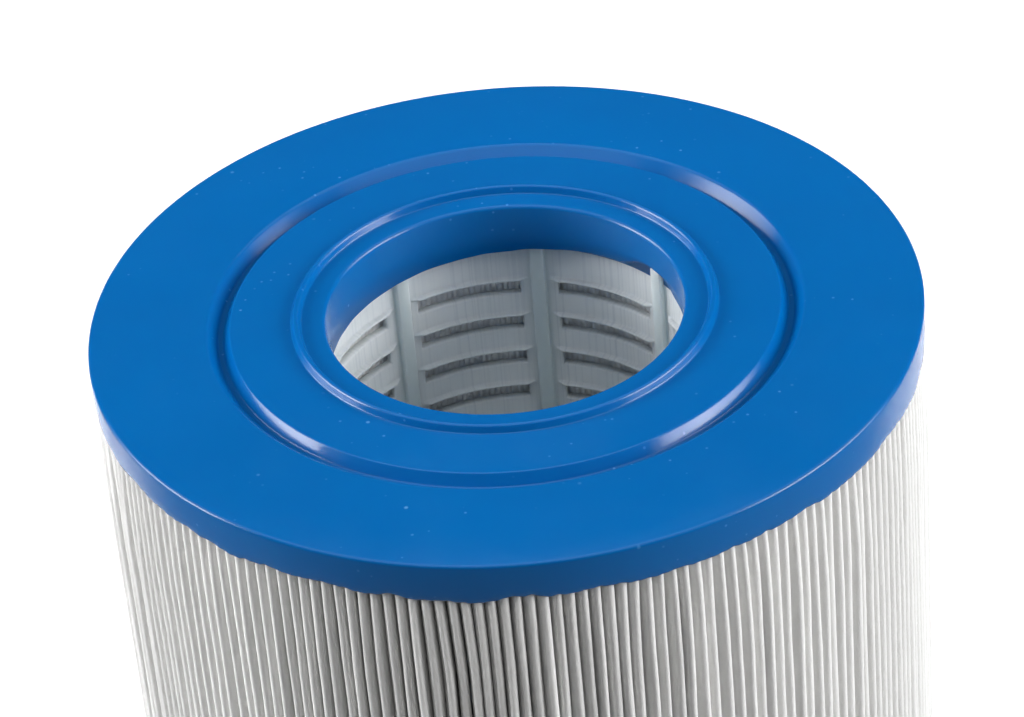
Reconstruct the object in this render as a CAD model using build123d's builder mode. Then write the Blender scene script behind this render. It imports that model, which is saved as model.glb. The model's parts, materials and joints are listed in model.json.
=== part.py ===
from build123d import *
import os
from math import cos, radians, sin

# Pleated filter cartridge for a pool or spa, with an open bore through both ends.
#
# A long sheet of filter fabric is folded into radial pleats round a perforated centre core.
# Both ends of the pleat pack and of the core are potted in cast polyurethane end caps.
# Units are millimetres. The origin is the centre of the bottom end, and +Z runs along the bore.

# ---- driving dimensions -------------------------------------------------------------------
overall_length = 338.1      # over the sealing beads of both caps, 13-5/16 in
cap_radius = 62.7           # 4-15/16 in across
bore_radius = 27.0          # 2-1/8 in opening
pleat_count = 210
fabric_thickness = 0.38

# ---- end caps -----------------------------------------------------------------------------
bead_height = 1.2           # sealing bead, above the flat face of the cap
bead_inner_radius = 30.7
bead_outer_radius = 32.1
bead_slope = 0.3            # each side of the bead leans in by this much
bead_rounding = 0.25
groove_inner_radius = 41.4
groove_outer_radius = 44.95
groove_floor_inner_radius = 42.6
groove_floor_outer_radius = 43.2
groove_depth = 1.8
groove_inner_rounding = 0.3
groove_outer_rounding = 0.8
rim_rounding = 0.5
bore_rounding = 0.6
potting_depth = 6.7         # cast resin over the pleats, below the flat face
collar_depth = 8.1          # cast resin round the bore, below the flat face

# ---- centre core --------------------------------------------------------------------------
core_inner_radius = 28.1
core_outer_radius = 30.5
panel_inner_radius = 29.1   # the panels between the ribs are thinner than the ribs
rib_count = 8
rib_width = 2.2             # the part of each rib that stands in from the panels
rib_flange_width = 6.0      # the outer part of each rib, level with the panels
first_rib_angle = 33.5
tab_height = 1.4            # rib ends that key into the next section
tab_width = 3.2
tab_clearance = 0.1         # each side of a tab in its notch
slot_rows = 15
slot_pitch = 6.73
slot_height = 2.95
top_ring_height = 6.9       # from the last slot to the upper edge
lip_height = 0.45           # inward lip along the lower edge of each ring

# ---- pleat pack ---------------------------------------------------------------------------
pleat_outer_radius = cap_radius - 0.2
pleat_inner_radius = core_outer_radius + 0.1
seam_inner_radius = 48.0

# ---- levels along the axis ----------------------------------------------------------------
top_face_z = overall_length - bead_height
top_potting_z = top_face_z - potting_depth
bottom_potting_z = bead_height + potting_depth
core_top_z = top_face_z - collar_depth
section_names = ["core_lower", "core_middle", "core_upper"]
section_height = (core_top_z - bottom_potting_z) / len(section_names)
media_length = top_potting_z - bottom_potting_z


def cap_outline():
    """Half section of a cap: radius, height above its flat face, and rounding of each corner."""
    return [
        (bore_radius, 0, bore_rounding),
        (bead_inner_radius, 0, 0),
        (bead_inner_radius + bead_slope, bead_height, bead_rounding),
        (bead_outer_radius - bead_slope, bead_height, bead_rounding),
        (bead_outer_radius, 0, 0),
        (groove_inner_radius, 0, groove_inner_rounding),
        (groove_floor_inner_radius, -groove_depth, 0),
        (groove_floor_outer_radius, -groove_depth, 0),
        (groove_outer_radius, 0, groove_outer_rounding),
        (cap_radius, 0, rim_rounding),
        (cap_radius, -potting_depth, 0),
        (core_outer_radius, -potting_depth, 0),
        (core_outer_radius, -collar_depth, 0),
        (bore_radius, -collar_depth, 0),
    ]


def ring_outline(lower_z, upper_z):
    """L-shaped half section of one core ring: a thin panel over an inward lip."""
    return [
        (core_inner_radius, lower_z),
        (core_outer_radius, lower_z),
        (core_outer_radius, upper_z),
        (panel_inner_radius, upper_z),
        (panel_inner_radius, lower_z + lip_height),
        (core_inner_radius, lower_z + lip_height),
    ]


def ring_levels():
    """Lower and upper level of every ring in a core section, from its lower edge."""
    slot_tops = [section_height - top_ring_height - row * slot_pitch for row in range(slot_rows)]
    lower_levels = [0] + sorted(slot_tops)
    upper_levels = sorted(top - slot_height for top in slot_tops) + [section_height]
    return list(zip(lower_levels, upper_levels))


def leg_point(leg, side, radius):
    """A corner of the folded sheet: side -1 or +1 of one radial leg, at a radius."""
    angle = radians(90 + (leg + 0.5) * 180 / pleat_count)
    shift = side * fabric_thickness / 2
    return (radius * cos(angle) - shift * sin(angle), radius * sin(angle) + shift * cos(angle))


def pleat_outline():
    """Closed outline of the folded sheet, which starts and ends at the side seam."""
    leg_count = 2 * pleat_count
    outside = []
    inside = []
    for leg in range(leg_count):
        starts_valley = leg % 2 == 0
        side = 1 if starts_valley else -1
        valley_floor = leg_point(leg, side, pleat_inner_radius + fabric_thickness)
        crest_top = leg_point(leg, side, pleat_outer_radius)
        outside += [crest_top, valley_floor] if starts_valley else [valley_floor, crest_top]
        is_free_end = leg in (0, leg_count - 1)
        under_crest_radius = pleat_outer_radius - (0 if is_free_end else fabric_thickness)
        under_crest = leg_point(leg, -side, under_crest_radius)
        valley_back = leg_point(leg, -side, pleat_inner_radius)
        inside += [under_crest, valley_back] if starts_valley else [valley_back, under_crest]
    return outside + inside[::-1]


def draw_ribs(flange_width):
    """All ribs in section: a flange level with the panels, and a narrower rib standing in from it."""
    reach = 2 * core_outer_radius
    with PolarLocations(0, rib_count, start_angle=first_rib_angle):
        Rectangle(reach, flange_width, align=(Align.MIN, Align.CENTER))
    Circle(panel_inner_radius, mode=Mode.SUBTRACT)
    with PolarLocations(0, rib_count, start_angle=first_rib_angle):
        Rectangle(reach, rib_width, align=(Align.MIN, Align.CENTER))
    Circle(core_inner_radius, mode=Mode.SUBTRACT)
    Circle(core_outer_radius, mode=Mode.INTERSECT)


os.makedirs("parts", exist_ok=True)

# ---- centre core, three identical sections keyed end to end -------------------------------
core_sections = {}
for index, section_name in enumerate(section_names):
    section_z = bottom_potting_z + index * section_height
    with BuildPart() as core_section:
        with BuildSketch(Plane.XZ):
            for lower_level, upper_level in ring_levels():
                with BuildLine():
                    Polyline(*ring_outline(section_z + lower_level, section_z + upper_level), close=True)
                make_face()
        revolve(axis=Axis.Z)
        with BuildSketch(Plane.XY.offset(section_z)):
            draw_ribs(rib_flange_width)
        extrude(amount=section_height)
        with BuildSketch(Plane.XY.offset(section_z + section_height)):
            draw_ribs(tab_width)
        extrude(amount=tab_height)
        with BuildSketch(Plane.XY.offset(section_z)):
            notch_size = (2 * core_outer_radius, tab_width + 2 * tab_clearance)
            with PolarLocations(0, rib_count, start_angle=first_rib_angle):
                Rectangle(*notch_size, align=(Align.MIN, Align.CENTER))
        extrude(amount=tab_height, mode=Mode.SUBTRACT)
    core_section.part.label = section_name
    export_step(core_section.part, f"parts/{section_name}.step")
    core_sections[section_name] = core_section.part

# ---- end caps, cast over the ends of the pleats and of the core ---------------------------
for cap_name, face_z, outward, buried_section in (
    ("top_end_cap", top_face_z, 1, "core_upper"),
    ("bottom_end_cap", bead_height, -1, "core_lower"),
):
    with BuildPart() as end_cap:
        with BuildSketch(Plane.XZ) as profile:
            corners = [(radius, face_z + outward * level) for radius, level, _ in cap_outline()]
            with BuildLine():
                Polyline(*corners, close=True)
            make_face()
            for corner, (_, _, rounding) in zip(corners, cap_outline()):
                if rounding:
                    fillet(profile.vertices().sort_by_distance(corner)[0], rounding)
        revolve(axis=Axis.Z)
        add(core_sections[buried_section], mode=Mode.SUBTRACT)
    end_cap.part.label = cap_name
    export_step(end_cap.part, f"parts/{cap_name}.step")

# ---- pleated media ------------------------------------------------------------------------
with BuildPart() as pleated_media:
    with BuildSketch(Plane.XY.offset(bottom_potting_z)):
        with BuildLine():
            Polyline(*pleat_outline(), close=True)
        make_face()
    extrude(amount=media_length)
pleated_media.part.label = "pleated_media"
export_step(pleated_media.part, "parts/pleated_media.step")

# ---- side seam, the bonding strip between the two free ends of the sheet ------------------
last_leg = 2 * pleat_count - 1
with BuildPart() as side_seam:
    with BuildSketch(Plane.XY.offset(bottom_potting_z)):
        with BuildLine():
            Polyline(
                leg_point(last_leg, 1, seam_inner_radius),
                leg_point(last_leg, 1, pleat_outer_radius),
                leg_point(0, -1, pleat_outer_radius),
                leg_point(0, -1, seam_inner_radius),
                close=True,
            )
        make_face()
    extrude(amount=media_length)
side_seam.part.label = "side_seam"
export_step(side_seam.part, "parts/side_seam.step")
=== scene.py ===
import json
import math

import bmesh
import bpy
import numpy as np
from mathutils import Matrix, Vector, noise


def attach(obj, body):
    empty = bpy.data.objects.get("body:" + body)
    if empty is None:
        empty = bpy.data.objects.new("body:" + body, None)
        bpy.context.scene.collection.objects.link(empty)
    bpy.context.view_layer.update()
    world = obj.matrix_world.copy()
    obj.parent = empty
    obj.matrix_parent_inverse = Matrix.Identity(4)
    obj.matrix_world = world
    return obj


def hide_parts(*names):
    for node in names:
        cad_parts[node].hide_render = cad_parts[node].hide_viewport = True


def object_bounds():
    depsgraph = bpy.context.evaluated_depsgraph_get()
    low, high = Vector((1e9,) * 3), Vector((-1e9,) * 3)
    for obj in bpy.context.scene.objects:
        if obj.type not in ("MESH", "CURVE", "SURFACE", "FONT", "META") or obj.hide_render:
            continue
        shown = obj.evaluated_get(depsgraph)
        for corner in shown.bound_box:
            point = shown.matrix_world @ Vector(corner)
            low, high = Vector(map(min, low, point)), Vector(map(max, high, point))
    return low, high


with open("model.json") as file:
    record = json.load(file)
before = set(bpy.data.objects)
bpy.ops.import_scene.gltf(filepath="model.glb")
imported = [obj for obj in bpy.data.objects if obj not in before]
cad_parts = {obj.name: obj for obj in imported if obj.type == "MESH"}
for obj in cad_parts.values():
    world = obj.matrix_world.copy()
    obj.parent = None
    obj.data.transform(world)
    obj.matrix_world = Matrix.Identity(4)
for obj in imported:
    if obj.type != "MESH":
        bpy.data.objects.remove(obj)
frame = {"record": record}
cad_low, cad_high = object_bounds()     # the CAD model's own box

# Looks of the pleated filter cartridge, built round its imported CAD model.
# Everything is in metres. +Z runs along the bore, and the side seam is on the +Y side.

MM = 0.001
FULL_TURN = 2 * math.pi

# ---- sizes shared by several pieces -------------------------------------------------------
top_bore = next(mount for mount in frame["record"]["mounts"] if mount["name"] == "top_bore")
CAP_RADIUS = cad_high.x
LENGTH = cad_high.z
BORE_RADIUS = top_bore["dims"]["r_mm"] * MM
BEAD_HEIGHT = 1.2 * MM
TOP_FACE = LENGTH - BEAD_HEIGHT
BOTTOM_FACE = BEAD_HEIGHT
POTTING_DEPTH = 6.7 * MM            # cast resin over the pleats, below the flat face
COLLAR_DEPTH = 8.1 * MM             # cast resin round the bore, below the flat face

CORE_INNER_RADIUS = 28.1 * MM
CORE_PANEL_RADIUS = 29.1 * MM       # the panels between the ribs are thinner than the ribs
CORE_OUTER_RADIUS = 30.5 * MM
RIBS = 8
FIRST_RIB = math.radians(33.5)

PLEATS = 210
PITCH = FULL_TURN / PLEATS
SEAM_ANGLE = math.pi / 2
FABRIC_THICKNESS = 0.38 * MM


# ---- camera -------------------------------------------------------------------------------
def make_camera():
    """A long lens that looks down on the top end from the front, and leans a little to one side."""
    target = Vector((0, 0, TOP_FACE - 0.35 * MM))
    outline_radius = CAP_RADIUS - 0.1 * MM      # the cap's outline in the view, on its rounded edge
    distance = 9.61 * outline_radius
    elevation = math.radians(34.61)
    back = Vector((0, -math.cos(elevation), math.sin(elevation)))
    right = Vector((1, 0, 0))
    facing = Matrix((right, right.cross(-back), back)).transposed().to_4x4()
    yaw = Matrix.Rotation(math.radians(-0.04), 4, "Y")
    pitch = Matrix.Rotation(math.radians(-0.733), 4, "X")
    roll = Matrix.Rotation(math.radians(-5.16), 4, "Z")
    camera = bpy.data.objects.new("camera", bpy.data.cameras.new("camera"))
    camera.data.lens = 141.0
    camera.data.sensor_width = 36.0
    camera.data.clip_start = 0.01
    camera.data.clip_end = 100
    camera.matrix_world = Matrix.Translation(target + back * distance) @ facing @ yaw @ pitch @ roll
    bpy.context.collection.objects.link(camera)
    bpy.context.scene.camera = camera


make_camera()


# ---- material helpers ---------------------------------------------------------------------
class Shader:
    """A material with one Principled shader, and short calls for the nodes that feed it."""

    def __init__(self, name, **values):
        self.material = bpy.data.materials.new(name)
        self.material.use_nodes = True
        self.tree = self.material.node_tree
        self.main = self.tree.nodes["Principled BSDF"]
        for socket, value in values.items():
            self.main.inputs[socket.replace("_", " ")].default_value = value
        self.place = self.tree.nodes.new("ShaderNodeTexCoord").outputs["Object"]

    def add(self, kind, inputs, **settings):
        """A node with its settings, and its inputs either linked to a socket or set to a value."""
        node = self.tree.nodes.new(kind)
        for key, value in settings.items():
            setattr(node, key, value)
        for socket, value in inputs.items():
            self.connect(value, node.inputs[socket])
        return node

    def connect(self, value, socket):
        if isinstance(value, bpy.types.NodeSocket):
            self.tree.links.new(value, socket)
        else:
            socket.default_value = value

    def feed(self, socket, value):
        self.tree.links.new(value, self.main.inputs[socket])

    def calculate(self, operation, *values):
        return self.add("ShaderNodeMath", dict(enumerate(values)), operation=operation).outputs[0]

    def scaled(self, vector, scale):
        return self.add("ShaderNodeVectorMath", {0: vector, 1: scale}, operation="MULTIPLY").outputs[0]

    def turn(self):
        """0 to 1 round the cartridge's axis."""
        gradient = self.add("ShaderNodeTexGradient", {"Vector": self.place}, gradient_type="RADIAL")
        return gradient.outputs["Fac"]

    def round_axis(self, rate, rise):
        """Coordinates that grow by a rate in one turn about the axis, and rise with height."""
        height = self.add("ShaderNodeSeparateXYZ", {"Vector": self.place}).outputs["Z"]
        place = self.add("ShaderNodeCombineXYZ", {"X": self.turn(), "Z": height}).outputs[0]
        return self.scaled(place, (rate, 1, rate * rise))

    def rib_shade_mask(self):
        """1 along the ribs of the core, for painted shade where less light comes through the thicker
        plastic, and 0 elsewhere.
        """
        to_first_rib = 0.5 - FIRST_RIB / FULL_TURN * RIBS
        count = self.calculate("MULTIPLY_ADD", self.turn(), RIBS, to_first_rib)
        off_rib = self.calculate("SUBTRACT", self.calculate("FRACT", count), 0.5)
        spacings_away = self.calculate("ABSOLUTE", off_rib)
        return self.ramp(spacings_away, 0.08, 0.04)

    def noise(self, scale, detail=2.0, roughness=0.5, place=None):
        inputs = {"Vector": place or self.place, "Scale": scale, "Detail": detail, "Roughness": roughness}
        return self.add("ShaderNodeTexNoise", inputs).outputs["Fac"]

    def specks(self, scale, reach):
        """1 in small round spots, about one to a cell, and 0 between them."""
        spots = self.add("ShaderNodeTexVoronoi", {"Vector": self.place, "Scale": scale})
        return self.ramp(spots.outputs["Distance"], reach, reach * 0.4)

    def ramp(self, value, low, high, low_out=0.0, high_out=1.0):
        inputs = {"Value": value, "From Min": low, "From Max": high, "To Min": low_out, "To Max": high_out}
        return self.add("ShaderNodeMapRange", inputs).outputs["Result"]

    def blend(self, factor, first, second):
        """A colour between two others, each a socket or a (red, green, blue) tuple."""
        node = self.add("ShaderNodeMix", {}, data_type="RGBA")
        self.tree.links.new(factor, node.inputs["Factor"])
        for socket, colour in (("A", first), ("B", second)):
            self.connect((*colour, 1) if isinstance(colour, tuple) else colour, node.inputs[socket])
        return node.outputs["Result"]

    def glow_through(self, weight, depth):
        """Light scattered inside the material, to a depth in metres."""
        self.main.inputs["Subsurface Weight"].default_value = weight
        self.main.inputs["Subsurface Radius"].default_value = (1, 1, 1)
        self.main.inputs["Subsurface Scale"].default_value = depth

    def bump(self, *heights):
        """Bumps of (height value, depth in metres), one on another."""
        normal = None
        for height, depth in heights:
            inputs = {"Height": height, "Strength": 1.0, "Distance": depth}
            if normal:
                inputs["Normal"] = normal
            normal = self.add("ShaderNodeBump", inputs).outputs["Normal"]
        self.feed("Normal", normal)


# ---- materials ----------------------------------------------------------------------------
def resin_material():
    """Cast blue polyurethane: semi-gloss, with faint clouds and streaks and fine pale specks."""
    shader = Shader("cap_resin", IOR=1.45, Specular_IOR_Level=0.5)
    shader.glow_through(weight=0.4, depth=1.2 * MM)
    clouds = shader.ramp(shader.noise(scale=45, detail=3), 0.3, 0.7)
    patches = shader.ramp(shader.noise(scale=60), 0.46, 0.62)
    large_specks = shader.calculate("MULTIPLY", shader.specks(scale=170, reach=0.065), patches)
    small_specks = shader.calculate("MULTIPLY", shader.specks(scale=380, reach=0.11), patches)
    blue = shader.blend(clouds, (0.0, 0.133, 0.430), (0.0, 0.142, 0.452))
    speckled = shader.blend(large_specks, blue, (0.09, 0.33, 0.70))
    shader.feed("Base Color", shader.blend(small_specks, speckled, (0.05, 0.26, 0.64)))
    shader.feed("Roughness", shader.ramp(shader.noise(scale=120, detail=4), 0.3, 0.7, 0.12, 0.22))
    ripples = shader.noise(scale=160, detail=3)
    streaks = shader.noise(scale=1, place=shader.round_axis(rate=220, rise=0.02))
    grain = shader.noise(scale=1800)
    shader.bump((ripples, 0.03 * MM), (streaks, 0.012 * MM), (grain, 0.003 * MM))
    return shader.material


def fabric_material():
    """White spun-bonded polyester: matt, cloudy, lets some light through."""
    shader = Shader("filter_fabric", Roughness=0.85, IOR=1.45, Specular_IOR_Level=0.2, Sheen_Weight=0.1)
    shader.glow_through(weight=0.6, depth=1.2 * MM)
    clouds = shader.ramp(shader.noise(scale=420, detail=4, roughness=0.6), 0.3, 0.7)
    upright = shader.scaled(shader.place, (1, 1, 0.35))
    fibres = shader.ramp(shader.noise(scale=2600, detail=3, roughness=0.7, place=upright), 0.35, 0.65)
    clouded = shader.blend(clouds, (0.945, 0.94, 0.91), (0.985, 0.982, 0.962))
    shader.feed("Base Color", shader.blend(fibres, clouded, (0.975, 0.973, 0.96)))
    shader.bump((clouds, 0.05 * MM), (fibres, 0.04 * MM))
    return shader.material


def core_material():
    """Natural moulded polypropylene: satin, milky, with painted shade: faint darker stripes for the pleats
    behind it showing through, and darker ribs where less light comes through the thicker plastic.
    """
    shader = Shader("core_plastic", Roughness=0.45, IOR=1.49, Specular_IOR_Level=0.35)
    shader.glow_through(weight=0.9, depth=3 * MM)
    clouds = shader.ramp(shader.noise(scale=90, detail=3), 0.3, 0.7)
    milky = shader.blend(clouds, (0.79, 0.855, 0.87), (0.86, 0.915, 0.925))
    # painted shade: faint darker stripes, one to a pleat, stand in for the shade of the pleats behind
    # showing through the plastic
    beside_pleats = shader.round_axis(rate=PLEATS, rise=0.03)
    pleat_shade_stripes = shader.ramp(shader.noise(scale=1.6, place=beside_pleats), 0.50, 0.75)
    pleat_shaded = shader.blend(pleat_shade_stripes, milky, (0.70, 0.765, 0.795))
    # painted shade: the ribs darker, standing in for less light coming through the thicker plastic
    shader.feed("Base Color", shader.blend(shader.rib_shade_mask(), pleat_shaded, (0.65, 0.73, 0.735)))
    shader.bump((shader.noise(scale=700), 0.02 * MM), (shader.noise(scale=120), 0.12 * MM))
    return shader.material


def seam_material():
    """Off-white hot-melt adhesive."""
    shader = Shader("seam_adhesive", Roughness=0.3, IOR=1.48)
    shader.glow_through(weight=0.5, depth=1 * MM)
    clouds = shader.ramp(shader.noise(scale=160, detail=3), 0.3, 0.7)
    shader.feed("Base Color", shader.blend(clouds, (0.76, 0.74, 0.67), (0.84, 0.82, 0.77)))
    shader.bump((shader.noise(scale=300, detail=3), 0.12 * MM))
    return shader.material


RESIN = resin_material()
FABRIC = fabric_material()
CORE = core_material()
SEAM = seam_material()


# ---- shape helpers ------------------------------------------------------------------------
def grid_faces(rows, columns, close_rows, close_columns):
    """Quads over a grid of points numbered row by row."""
    index = np.arange(rows * columns).reshape(rows, columns)
    if close_rows:
        index = np.vstack((index, index[:1]))
    if close_columns:
        index = np.hstack((index, index[:, :1]))
    corners = (index[:-1, :-1], index[:-1, 1:], index[1:, 1:], index[1:, :-1])
    return np.stack(corners, axis=-1).reshape(-1, 4).tolist()


def make_piece(name, points, faces, material, node):
    """A smooth closed mesh that rides on the cartridge and stands for a CAD node."""
    mesh = bpy.data.meshes.new(name)
    mesh.from_pydata(points, [], faces)
    work = bmesh.new()
    work.from_mesh(mesh)
    bmesh.ops.recalc_face_normals(work, faces=work.faces)
    work.to_mesh(mesh)
    work.free()
    mesh.materials.append(material)
    mesh.shade_smooth()
    piece = bpy.data.objects.new(name, mesh)
    bpy.context.collection.objects.link(piece)
    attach(piece, "root")
    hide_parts(node)
    return piece


def rounded_outline(corners, steps=5):
    """Points of an open outline whose corners (x, y, radius) are rounded by arcs."""
    points = []
    for index, (x, y, radius) in enumerate(corners):
        here = Vector((x, y))
        if not radius or index in (0, len(corners) - 1):
            points.append(here)
            continue
        before = (Vector(corners[index - 1][:2]) - here).normalized()
        after = (Vector(corners[index + 1][:2]) - here).normalized()
        half_angle = before.angle(after) / 2
        centre = here + (before + after).normalized() * (radius / math.sin(half_angle))
        start = here + before * (radius / math.tan(half_angle))
        sweep = math.pi - 2 * half_angle
        turn = sweep if before.x * after.y - before.y * after.x < 0 else -sweep
        for step in range(steps + 1):
            spin = Matrix.Rotation(turn * step / steps, 2)
            points.append(centre + spin @ (start - centre))
    return points


def wander(angle, waves, seed):
    """Smooth noise from -1 to 1 round a circle, about that many waves in a turn."""
    reach = waves / FULL_TURN
    return noise.noise(Vector((math.cos(angle) * reach, math.sin(angle) * reach, seed)))


def drift(own, level, rate, seed):
    """Smooth noise from -1 to 1 up the height, about rate waves in a metre, and its own for each pleat."""
    return noise.noise(Vector((own, level * rate, seed)))


def polar(radius, angle, across=0.0):
    """Plan position at a radius, moved sideways by a distance."""
    x = radius * math.cos(angle) - across * math.sin(angle)
    y = radius * math.sin(angle) + across * math.cos(angle)
    return x, y


# ---- end caps -----------------------------------------------------------------------------
COLUMNS_PER_PLEAT = 5
# The rest of this section is in mm, measured from the flat face of the cap.
CAP_EDGE = CAP_RADIUS / MM
RIM_ROUNDING = 0.5
GROOVE_OUTER_EDGE = (44.95, 0, 0.9)             # radius, height and rounding of each corner
GROOVE_FLOOR = ((43.3, -1.8, 0.35), (42.5, -1.8, 0.35))
GROOVE_INNER_EDGE = (41.4, 0, 0.3)
BEAD_OUTER_EDGE = 32.15
BEAD_INNER_EDGE = 30.65
BEAD_SLOPE = 0.4                                # each side of the bead leans in by this much
BEAD_FOOT_ROUNDING = 0.3
BEAD_TOP_ROUNDING = 0.48
BORE_EDGE = BORE_RADIUS / MM
BORE_ROUNDING = 0.6
BORE_WALL_DEPTH = 5.0                           # the even part of the bore wall
NOTCH_ANGLE = math.radians(31)                  # the shallow place in the resin round the bore
NOTCH_HALF_TURN = math.radians(12)


def cap_face():
    """The cast face, from the rim over the groove and the sealing bead to the bore."""
    bead_top = BEAD_HEIGHT / MM
    return [
        (CAP_EDGE, 0, RIM_ROUNDING),
        GROOVE_OUTER_EDGE,
        *GROOVE_FLOOR,
        GROOVE_INNER_EDGE,
        (BEAD_OUTER_EDGE, 0, BEAD_FOOT_ROUNDING),
        (BEAD_OUTER_EDGE - BEAD_SLOPE, bead_top, BEAD_TOP_ROUNDING),
        (BEAD_INNER_EDGE + BEAD_SLOPE, bead_top, BEAD_TOP_ROUNDING),
        (BEAD_INNER_EDGE, 0, BEAD_FOOT_ROUNDING),
        (BORE_EDGE, 0, BORE_ROUNDING),
        (BORE_EDGE, -BORE_WALL_DEPTH, 0),
    ]


def cap_section(skirt_depth, bore_depth):
    """Closed half section of a cap, radius and height, for the depths of its skirt and bore there."""
    potting = POTTING_DEPTH / MM
    collar = COLLAR_DEPTH / MM
    core_edge = CORE_OUTER_RADIUS / MM
    film_depth = max(collar + 1.0, bore_depth - 0.3)    # a film of resin over the top of the core
    skirt = [
        (CAP_EDGE - 2.5, -potting + 0.3),
        (CAP_EDGE - 0.9, -skirt_depth + 0.35),
        (CAP_EDGE - 0.3, -skirt_depth),
        (CAP_EDGE - 0.1, -skirt_depth + 0.12),
        (CAP_EDGE - 0.02, -skirt_depth + 0.5),
    ]
    top = rounded_outline([(CAP_EDGE, -skirt_depth + 1.5, 0), *cap_face()])
    bore_end = [
        (BORE_EDGE, -bore_depth + 0.25),
        (BORE_EDGE + 0.25, -bore_depth),
        (BORE_EDGE + 0.9, -bore_depth + 0.1),
    ]
    inside = [
        (core_edge - 1.6, -bore_depth + 0.35),
        (core_edge - 1.55, -film_depth),
        (core_edge - 1.25, -film_depth),
        (core_edge - 1.2, -collar - 0.1),
        (core_edge - 0.3, -collar - 0.1),
        (core_edge - 0.2, -potting),
        (core_edge + 0.6, -potting + 0.1),
    ]
    return np.array([*skirt, *(tuple(point) for point in top), *bore_end, *inside])


def skirt_depth_at(angle, seed):
    """Depth of the resin's lower edge, which hangs in uneven scallops over a few pleats each."""
    slope = 5.85 + 0.75 * math.cos(angle - 0.3) + 0.45 * wander(angle, 12, seed + 9)
    scallops = 1.5 * abs(wander(angle, 46, seed)) + 0.55 * abs(wander(angle, 120, seed + 5))
    dip_at_each_pleat = 0.05 * math.cos(PLEATS * angle)
    return slope + scallops + dip_at_each_pleat


def bore_depth_at(angle, seed):
    """Depth of the resin's lower edge in the bore, with one shallow place beside a rib."""
    slope = 8.25 - 1.4 * math.cos(angle + math.radians(10)) + 0.14 * wander(angle, 50, seed + 3)
    off_notch = (angle - NOTCH_ANGLE + math.pi) % FULL_TURN - math.pi
    notch = 1.65 * math.exp(-((off_notch / NOTCH_HALF_TURN) ** 4))
    return slope - notch


def make_cap(node, face_z, outward, seed):
    """One cast cap, a section for every fifth of a pleat, with outward 1 at the top and -1 below."""
    columns = PLEATS * COLUMNS_PER_PLEAT
    points = []
    for column in range(columns):
        angle = FULL_TURN * column / columns
        section = cap_section(skirt_depth_at(angle, seed), bore_depth_at(angle, seed)) * MM
        for radius, height in section:
            points.append((*polar(radius, angle), face_z + outward * height))
    faces = grid_faces(columns, len(section), True, True)
    make_piece(node + "_cast", points, faces, RESIN, node)


make_cap("top_end_cap", TOP_FACE, 1, 1.7)
make_cap("bottom_end_cap", BOTTOM_FACE, -1, 9.2)


# ---- centre core --------------------------------------------------------------------------
CORE_SECTIONS = ("core_lower", "core_middle", "core_upper")
CORE_BOTTOM = BOTTOM_FACE + POTTING_DEPTH
SECTION_HEIGHT = (TOP_FACE - COLLAR_DEPTH - CORE_BOTTOM) / len(CORE_SECTIONS)
CORE_RADII = (CORE_INNER_RADIUS, CORE_PANEL_RADIUS, CORE_OUTER_RADIUS)
RIB_HALF_WIDTH = 1.1 * MM
TAB_HALF_WIDTH = 1.65 * MM
FLANGE_HALF_WIDTH = 3.0 * MM
TAB_HEIGHT = 1.4 * MM               # rib ends that key into the next section
SLOT_ROWS = 15
SLOT_PITCH = 6.73 * MM
SLOT_HEIGHT = 2.95 * MM
SLOT_STEPS = 7                      # flat strips across a slot
TOP_RING_HEIGHT = 6.9 * MM          # from the last slot to the upper edge
LIP_HEIGHT = 0.45 * MM              # inward lip along the lower edge of each ring
CORE_EDGE_ROUNDING = 0.22 * MM
SHARP_EDGE = math.radians(35)


def core_columns():
    """Lines round the core as (angle, side offset), and the kind of each strip after its line."""
    lines, kinds = [], []
    slot_edge = math.asin(FLANGE_HALF_WIDTH / CORE_PANEL_RADIUS)
    slot_sweep = FULL_TURN / RIBS - 2 * slot_edge
    for rib in range(RIBS):
        rib_angle = FIRST_RIB + rib * FULL_TURN / RIBS
        offsets = (-FLANGE_HALF_WIDTH, -TAB_HALF_WIDTH, -RIB_HALF_WIDTH)
        lines += [(rib_angle, offset) for offset in offsets]
        lines += [(rib_angle, -offset) for offset in reversed(offsets)]
        kinds += ["flange", "tab", "rib", "tab", "flange"]
        kinds += ["slot"] * SLOT_STEPS
        for step in range(1, SLOT_STEPS):
            lines.append((rib_angle + slot_edge + slot_sweep * step / SLOT_STEPS, 0))
    return lines, kinds


def core_rows():
    """Levels up a core section, and the kind of each row above its level."""
    levels, kinds = [0, LIP_HEIGHT, TAB_HEIGHT], ["notched lip", "notched panel", "panel"]
    for row in reversed(range(SLOT_ROWS)):
        slot_top = SECTION_HEIGHT - TOP_RING_HEIGHT - row * SLOT_PITCH
        levels += [slot_top - SLOT_HEIGHT, slot_top, slot_top + LIP_HEIGHT]
        kinds += ["slot", "lip", "panel"]
    return levels + [SECTION_HEIGHT, SECTION_HEIGHT + TAB_HEIGHT], kinds + ["tab"]


def core_is_solid(row, column, layer):
    """Whether the core fills a row and strip, in layer 0 (ribs and lips) or 1 (panels)."""
    if row.startswith("notched") and column in ("rib", "tab"):
        return False
    if row == "tab":
        return column == "rib" or (column == "tab" and layer == 1)
    if column == "rib":
        return True
    if layer == 1:
        return not (row == "slot" and column == "slot")
    return row.endswith("lip") and column != "tab"


def mark_rounded_edges(mesh):
    """Give full rounding to the sharp edges of a core section, but not to those against the pleats."""
    work = bmesh.new()
    work.from_mesh(mesh)
    weight = work.edges.layers.float.new("bevel_weight_edge")
    for edge in work.edges:
        outside = min(point.co.xy.length for point in edge.verts) > CORE_OUTER_RADIUS - 0.1 * MM
        if not outside and edge.calc_face_angle(0) > SHARP_EDGE:
            edge[weight] = 1.0
    work.to_mesh(mesh)
    work.free()


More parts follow.
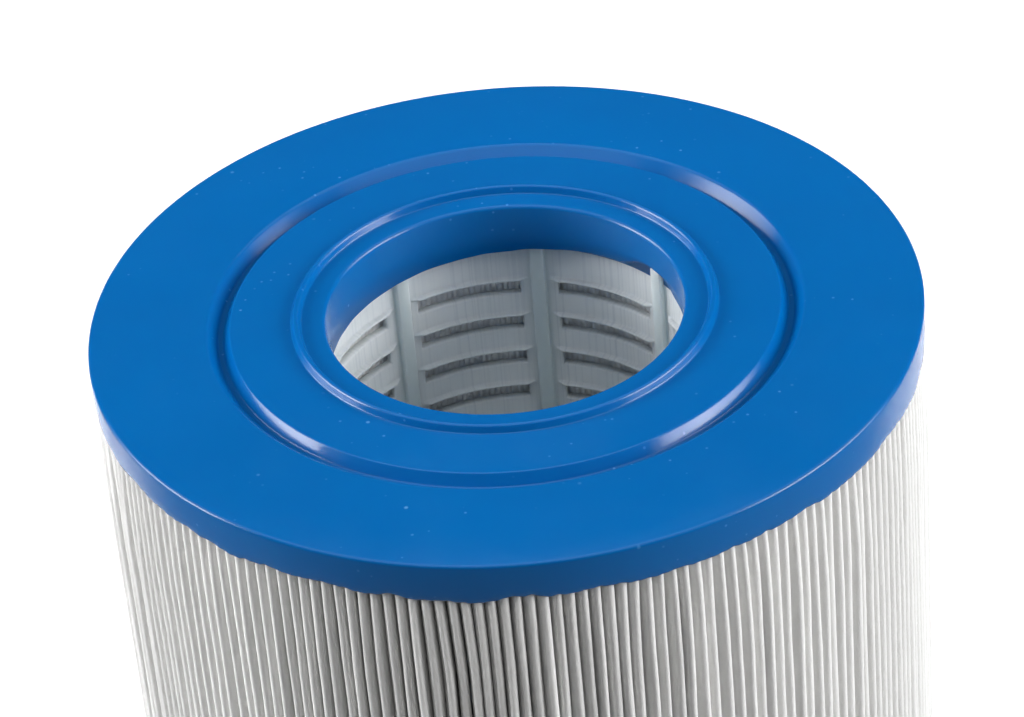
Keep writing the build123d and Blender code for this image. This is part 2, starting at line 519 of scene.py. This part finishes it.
def make_core_section(node, base):
    """Ribs, rings and lips as one skin, with rounded edges."""
    lines, column_kinds = core_columns()
    levels, row_kinds = core_rows()
    columns = len(lines)
    points, number = [], {}

    def corner(column, level, layer):
        """Number of a point; beside a rib a lip runs out into the panel, so there two layers meet."""
        angle, offset = lines[column % columns]
        lip_runs_out = layer == 0 and abs(offset) == TAB_HALF_WIDTH
        key = (column % columns, level, 1 if lip_runs_out else layer)
        if key not in number:
            radius = CORE_RADII[key[2]]
            number[key] = len(points)
            points.append((*polar(radius, angle + math.asin(offset / radius)), base + levels[level]))
        return number[key]

    solid = {
        (row, column, layer)
        for row, row_kind in enumerate(row_kinds)
        for column, column_kind in enumerate(column_kinds)
        for layer in (0, 1)
        if core_is_solid(row_kind, column_kind, layer)
    }
    faces = []
    for row, column, layer in sorted(solid):
        for axis in range(3):
            for step in (0, 1):
                beside = [row, column, layer]
                beside[axis] += 2 * step - 1
                if (beside[0], beside[1] % columns, beside[2]) in solid:
                    continue
                ring = []
                for first, second in ((0, 0), (1, 0), (1, 1), (0, 1)):
                    shift = [first, second]
                    shift.insert(axis, step)
                    ring.append(corner(column + shift[1], row + shift[0], layer + shift[2]))
                distinct = list(dict.fromkeys(ring))
                if len(distinct) > 2:
                    faces.append(distinct)
    piece = make_piece(node + "_moulded", points, faces, CORE, node)
    mark_rounded_edges(piece.data)
    rounding = piece.modifiers.new("rounding", "BEVEL")
    rounding.width = CORE_EDGE_ROUNDING
    rounding.segments = 2
    rounding.limit_method = "WEIGHT"
    rounding.use_clamp_overlap = False


for index, core_node in enumerate(CORE_SECTIONS):
    make_core_section(core_node, CORE_BOTTOM + index * SECTION_HEIGHT)


# ---- pleated fabric -----------------------------------------------------------------------
POTTED_LENGTH = 3.5 * MM            # fabric inside the resin at each end
HALF_FABRIC = FABRIC_THICKNESS / 2
CREST_RADIUS = CAP_RADIUS - 0.05 * MM
CREST_HALF_WIDTH = 0.40 * MM
VALLEY_RADIUS = CORE_OUTER_RADIUS + 0.25 * MM
VALLEY_HALF_TURN = 0.36 * PITCH
FRONT_LEAN = math.radians(10)
FREE_DISTANCE = 14 * MM             # from a cap to where the fabric moves freely
BOTTOM_ROWS, BOTTOM_ROW_STEP = 4, 3.2 * MM
TOP_ROWS, TOP_ROW_STEP = 14, 2.6 * MM
MIDDLE_ROWS = 9
FREE_END_DEPTH = 0.35 * MM          # the sheet's two ends stop this far under the crests
SEAM_HALF_GAP = 0.22 * MM


def pleat_levels():
    """Heights of the rows of points, close together near the caps."""
    low = BOTTOM_FACE + POTTING_DEPTH - POTTED_LENGTH
    high = TOP_FACE - POTTING_DEPTH + POTTED_LENGTH
    bottom = low + np.arange(BOTTOM_ROWS) * BOTTOM_ROW_STEP
    top = high - np.arange(TOP_ROWS) * TOP_ROW_STEP
    middle = np.linspace(bottom[-1], top[-1], MIDDLE_ROWS)
    return np.concatenate((bottom[:-1], middle, top[::-1][1:]))


def loose(from_cap):
    """How freely the fabric moves, from nearly 0 in the resin to 1 well away from it."""
    return 0.06 + 0.94 * min(1.0, max(0.0, from_cap) / FREE_DISTANCE) ** 0.6


def lean_at(angle):
    """The pleats lean round the axis as they go in: most at the front, and not at all at the seam."""
    return FRONT_LEAN / 2 * (1 - math.cos(angle - SEAM_ANGLE))


def crest_shape(pleat, level, freedom):
    """Sideways shift, radius and half width of one pleat's crest at one height."""
    own = pleat * 3.71
    sway = 0.30 * drift(own, level, 22, 1.3)
    ripple = 0.10 * drift(own, level, 105, 4.1)
    lean_with_neighbours = 0.6 * drift(pleat * 0.13, level, 7, 6.6)
    uneven_spacing = 0.25 * noise.noise(Vector((own, 6.3, 9.9)))
    shift = (sway + ripple + lean_with_neighbours + uneven_spacing) * freedom * MM
    slow_rise = 0.45 * drift(own, level, 11, 8.8)
    own_rise = 0.30 * noise.noise(Vector((own, 2.2, 5.5)))
    fine_rise = 0.10 * drift(own, level, 90, 3.7)
    drawn_in = 0.16 + 0.42 * (1 - freedom)      # the potted folds stand a little further in
    radius = CREST_RADIUS - (drawn_in - (slow_rise + own_rise + fine_rise) * freedom) * MM
    width = 1 + 0.45 * drift(own, level, 14, 2.9)
    return shift, radius, CREST_HALF_WIDTH * width


def gap_shape(pleat, level):
    """Where the gap after a pleat closes up, as depth under the crests, and half its width there."""
    own = pleat * 5.13
    depth = 1.3 + 0.9 * drift(own, level, 16, 7.4)
    half_width = 0.02 + 0.20 * abs(drift(own, level, 12, 3.3))
    return depth * MM, half_width * MM


def sheet_stations(level, freedom):
    """Mid-line of the folded sheet at one height: position in plan and the direction of its outer face."""
    stations = []

    def add(radius, angle, across, normal_across, normal_out):
        out = Vector((math.cos(angle), math.sin(angle)))
        side = Vector((-out.y, out.x))
        normal = (side * normal_across + out * normal_out).normalized()
        stations.append((Vector(polar(radius, angle, across)), normal))

    def add_free_end(side):
        """One end of the sheet, beside the seam: side 1 where the sheet starts, and -1 where it ends."""
        shift, radius, _ = crest_shape(0, level, freedom)
        add(radius - FREE_END_DEPTH, SEAM_ANGLE, shift + side * (SEAM_HALF_GAP + HALF_FABRIC), side, 0.02)

    def add_gap(pleat, here, after):
        """The fold inwards after a pleat: down one side of the gap, round the valley and up again."""
        valley = SEAM_ANGLE + (pleat + 0.5) * PITCH
        lean = lean_at(valley)
        depth, half_gap = gap_shape(pleat, level)
        radius = min(here[1], after[1]) - depth
        middle = (here[0] + after[0]) / 2 - depth * lean
        add(radius, valley, middle - half_gap - HALF_FABRIC, 1, 0.1)
        for side in (-1, 1):
            add(VALLEY_RADIUS, valley - lean + side * VALLEY_HALF_TURN, 0, -side, 0.35)
        add(radius, valley, middle + half_gap + HALF_FABRIC, -1, 0.1)

    def add_crest(pleat, shift, radius, half_width):
        for turn in (-90, -45, 0, 45, 90):
            across = math.sin(math.radians(turn))
            along = math.cos(math.radians(turn))
            crest = SEAM_ANGLE + pleat * PITCH
            add(radius - half_width * (1 - along), crest, shift + half_width * across, across, along)

    add_free_end(1)
    crests = [crest_shape(pleat % PLEATS, level, freedom) for pleat in range(PLEATS + 1)]
    for pleat in range(PLEATS):
        if pleat:
            add_crest(pleat, *crests[pleat])
        add_gap(pleat, crests[pleat], crests[pleat + 1])
    add_free_end(-1)
    return stations


def make_pleats():
    """One folded sheet with two free ends: each pleat wanders a little along its height."""
    levels = pleat_levels()
    points = []
    for level in levels:
        into_cap = min(level - levels[0], levels[-1] - level)
        stations = sheet_stations(level, loose(into_cap - POTTED_LENGTH))
        points += [(*(place + normal * HALF_FABRIC), level) for place, normal in stations]
        points += [(*(place - normal * HALF_FABRIC), level) for place, normal in reversed(stations)]
    across = 2 * len(stations)
    faces = grid_faces(len(levels), across, False, True)
    for first in (0, (len(levels) - 1) * across):
        faces += [
            [first + i, first + i + 1, first + across - 2 - i, first + across - 1 - i]
            for i in range(len(stations) - 1)
        ]
    piece = make_piece("pleated_media_folded", points, faces, FABRIC, "pleated_media")


make_pleats()


# ---- side seam ----------------------------------------------------------------------------
SEAM_INNER_RADIUS = 48 * MM
SEAM_ROWS = 161
SEAM_POTTED_LENGTH = 0.5 * MM
STEM_HALF_WIDTH = 0.2 * MM
STEM_END = 1.1 * MM                 # below the crests
SEAM_BEAD_MIDDLE = 0.45 * MM        # below the crests
SEAM_BEAD_HALF_WIDTH = 0.85 * MM
SEAM_BEAD_HALF_HEIGHT = 0.55 * MM


def seam_outline(level, crest):
    """Section of the seam at one height: a thin stem between the pleats, and a bead outside it."""
    slow_swell = 0.30 * noise.noise(Vector((level * 60, 3.1, 0.4)))
    quick_swell = 0.18 * noise.noise(Vector((level * 190, 7.7, 2.0)))
    swell = 1 + slow_swell + quick_swell
    ragged_end = SEAM_INNER_RADIUS + 0.8 * MM * noise.noise(Vector((level * 120, 1.9, 5.2)))
    stem_top = crest - STEM_END
    outline = [(ragged_end, -0.5 * STEM_HALF_WIDTH), (stem_top, -STEM_HALF_WIDTH)]
    for turn in range(-110, 111, 20):
        across = SEAM_BEAD_HALF_WIDTH * swell * math.sin(math.radians(turn))
        along = SEAM_BEAD_HALF_HEIGHT * swell * math.cos(math.radians(turn))
        outline.append((min(crest - SEAM_BEAD_MIDDLE + along, CAP_RADIUS - 0.02 * MM), across))
    return outline + [(stem_top, STEM_HALF_WIDTH), (ragged_end, 0.5 * STEM_HALF_WIDTH)]


def make_seam():
    """Adhesive between the two free ends of the sheet, squeezed out into an uneven bead."""
    low = BOTTOM_FACE + POTTING_DEPTH - SEAM_POTTED_LENGTH
    high = TOP_FACE - POTTING_DEPTH + SEAM_POTTED_LENGTH
    points = []
    for level in np.linspace(low, high, SEAM_ROWS):
        shift, crest, _ = crest_shape(0, level, loose(min(level - low, high - level)))
        outline = seam_outline(level, crest)
        points += [(*polar(radius, SEAM_ANGLE, shift + across), level) for radius, across in outline]
    faces = grid_faces(SEAM_ROWS, len(outline), False, True)
    faces.append(list(range(len(outline))))
    faces.append([len(points) - 1 - i for i in range(len(outline))])
    make_piece("side_seam_bead", points, faces, SEAM, "side_seam")


make_seam()


# ---- floor and light ----------------------------------------------------------------------
FLOOR_REACH = 6.0
LAMP_DISTANCE = 1.3
SIDE_LAMP_SIZE = (1.4, 0.8)
SIDE_LAMP_SPREAD = 70


def make_floor():
    """A plain pale floor, which is staging and not a piece of the cartridge."""
    mesh = bpy.data.meshes.new("floor")
    corners = [(FLOOR_REACH * x, FLOOR_REACH * y, 0) for x, y in ((-1, -1), (1, -1), (1, 1), (-1, 1))]
    mesh.from_pydata(corners, [], [(0, 1, 2, 3)])
    shader = Shader("floor", Base_Color=(0.40, 0.40, 0.40, 1), Roughness=0.9, Specular_IOR_Level=0.1)
    mesh.materials.append(shader.material)
    floor = bpy.data.objects.new("floor", mesh)
    bpy.context.collection.objects.link(floor)


def seen_from(azimuth, elevation, distance):
    """Offset to a place at an azimuth from +X and an elevation, both in degrees."""
    azimuth, elevation = math.radians(azimuth), math.radians(elevation)
    return Vector((*polar(math.cos(elevation), azimuth), math.sin(elevation))) * distance


def softbox(name, place, aim, size, power, spread):
    """A soft rectangular lamp at a place, pointed at another, its beam narrowed to a spread in degrees."""
    lamp = bpy.data.lights.new(name, "AREA")
    lamp.shape = "RECTANGLE"
    lamp.size, lamp.size_y = size
    lamp.energy = power
    lamp.spread = math.radians(spread)
    lamp_object = bpy.data.objects.new(name, lamp)
    lamp_object.location = place
    lamp_object.rotation_mode = "QUATERNION"
    lamp_object.rotation_quaternion = (Vector(aim) - Vector(place)).to_track_quat("-Z", "Y")
    bpy.context.collection.objects.link(lamp_object)


def make_light():
    """Two big soft lamps left and right, a dim one overhead, one over the floor behind, and a dim room."""
    top = Vector((0, 0, LENGTH))
    softbox("soft_left", top + seen_from(157, 18, LAMP_DISTANCE), aim=top + Vector((0, 0.48, 0)),
            size=SIDE_LAMP_SIZE, power=6.7, spread=SIDE_LAMP_SPREAD)
    softbox("soft_right", top + seen_from(0, 20, LAMP_DISTANCE), aim=top + Vector((0, 0.33, 0)),
            size=SIDE_LAMP_SIZE, power=5.6, spread=SIDE_LAMP_SPREAD)
    softbox("overhead", top + Vector((0, 0, LAMP_DISTANCE)), aim=top, size=(2.2, 2.2), power=12, spread=180)
    softbox("floor_behind", (0, 0.6, 0.7), aim=(0, 0.6, 0), size=(1.8, 0.8), power=10, spread=22)
    world = bpy.data.worlds.new("studio")
    world.use_nodes = True
    room = world.node_tree.nodes["Background"]
    room.inputs["Color"].default_value = (1, 1, 1, 1)
    room.inputs["Strength"].default_value = 0.05
    bpy.context.scene.world = world
    bpy.context.scene.view_settings.view_transform = "Standard"


make_floor()
make_light()
